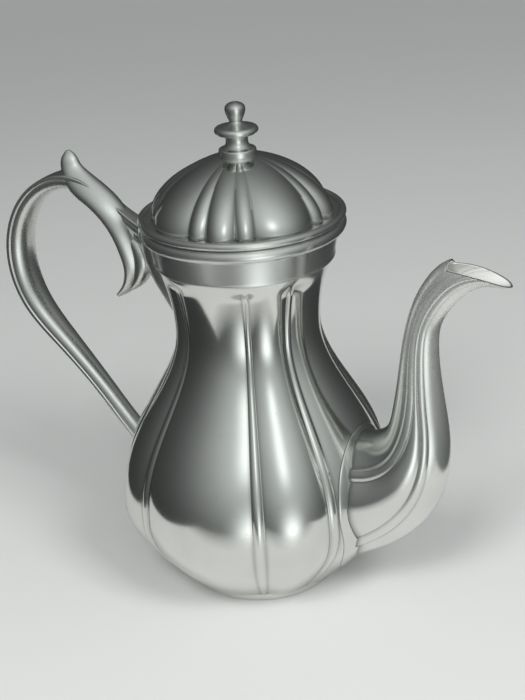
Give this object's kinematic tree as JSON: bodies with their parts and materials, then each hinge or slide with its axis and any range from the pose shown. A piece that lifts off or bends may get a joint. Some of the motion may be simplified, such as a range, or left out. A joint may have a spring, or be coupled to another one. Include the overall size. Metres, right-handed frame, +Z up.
{
  "type": "coffee pot",
  "caption": "Pewter coffee pot with a lobed pear-shaped body, swan-neck spout, scrolled ear handle and a loose domed lid with a turned knob.",
  "frame": {"origin": "centre of the foot's flat underside, on the pot's axis at table level", "axes": "+Z up along the pot's axis, +X towards the spout, -X towards the handle, Y across the pot's plane of symmetry"},
  "size_m": [0.2772, 0.142, 0.2501],
  "materials": {
    "cast_pewter": "cast pewter, polished to a soft gloss with fine hand-rubbed scratches",
    "turned_pewter": "pewter turned on a lathe and polished, with faint rings",
    "handle_pewter": "cast pewter worn smooth by the hand, a little duller than the body",
    "fixing_brass": "plain machined brass"
  },
  "bodies": {
    "pot": {"base_plate": "turned_pewter", "body_lower": "cast_pewter", "body_upper": "cast_pewter", "collar_band": "turned_pewter", "mouth_rim": "turned_pewter", "spout_left": "cast_pewter", "spout_right": "cast_pewter", "spout_flange": "cast_pewter", "handle": "handle_pewter"},
    "lid": {"lid_dome": "cast_pewter", "lid_rim": "turned_pewter", "lid_bezel": "turned_pewter", "finial": "turned_pewter", "finial_washer": "fixing_brass", "finial_nut": "fixing_brass"}
  },
  "joints": [
    {"name": "lid_lift", "type": "slide", "parent": "pot", "child": "lid", "axis": [0, 0, 1], "range_m": [0, 0.08]}
  ]
}
